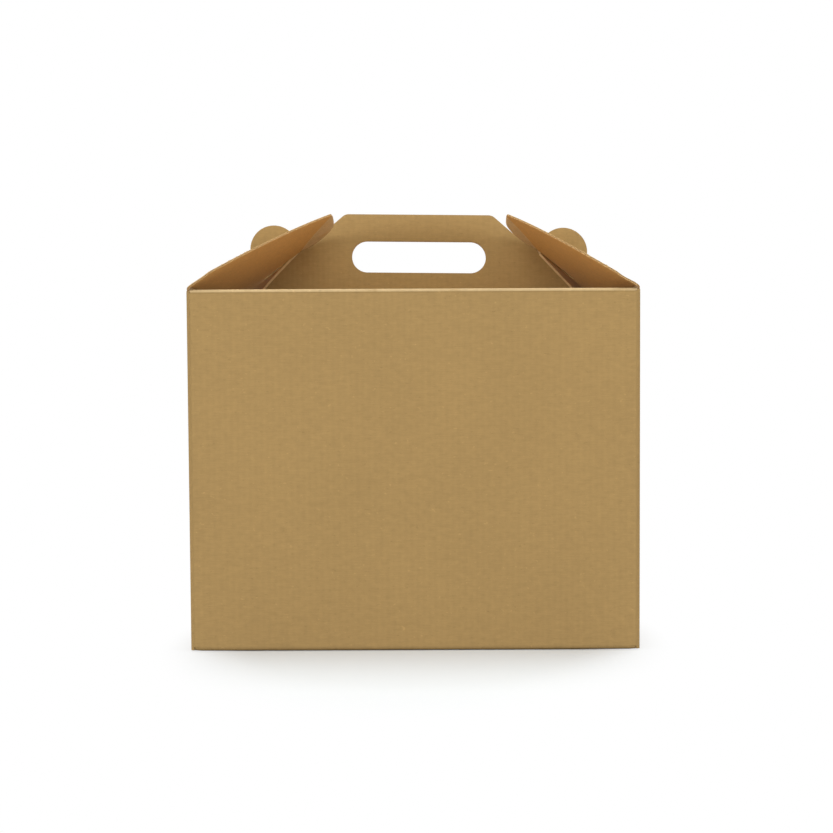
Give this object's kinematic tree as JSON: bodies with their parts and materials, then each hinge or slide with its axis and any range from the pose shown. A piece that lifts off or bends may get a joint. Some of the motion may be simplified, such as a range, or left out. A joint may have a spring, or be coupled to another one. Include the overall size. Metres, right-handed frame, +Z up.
{
  "type": "panettone gift box",
  "caption": "Square folded board carry box with a double upright handle, hand hole, round lock ears and two hinged side flaps.",
  "frame": {"origin": "centre of the base on the table", "axes": "+Z up, +X along the handle to the right seen from the front, -Y out of the front wall"},
  "size_m": [0.25, 0.25, 0.26],
  "materials": {
    "kraft_board": "matt natural kraft"
  },
  "bodies": {
    "box": {"body": "kraft_board"},
    "left_flap": {"left_side_flap": "kraft_board"},
    "right_flap": {"right_side_flap": "kraft_board"}
  },
  "joints": [
    {"name": "left_flap_crease", "type": "hinge", "parent": "box", "child": "left_flap", "pos_m": [-0.12425, 0, 0.20075], "axis": [0, -1, 0], "range_deg": [0, 170]},
    {"name": "right_flap_crease", "type": "hinge", "parent": "box", "child": "right_flap", "pos_m": [0.12425, 0, 0.20075], "axis": [0, 1, 0], "range_deg": [0, 170]}
  ]
}
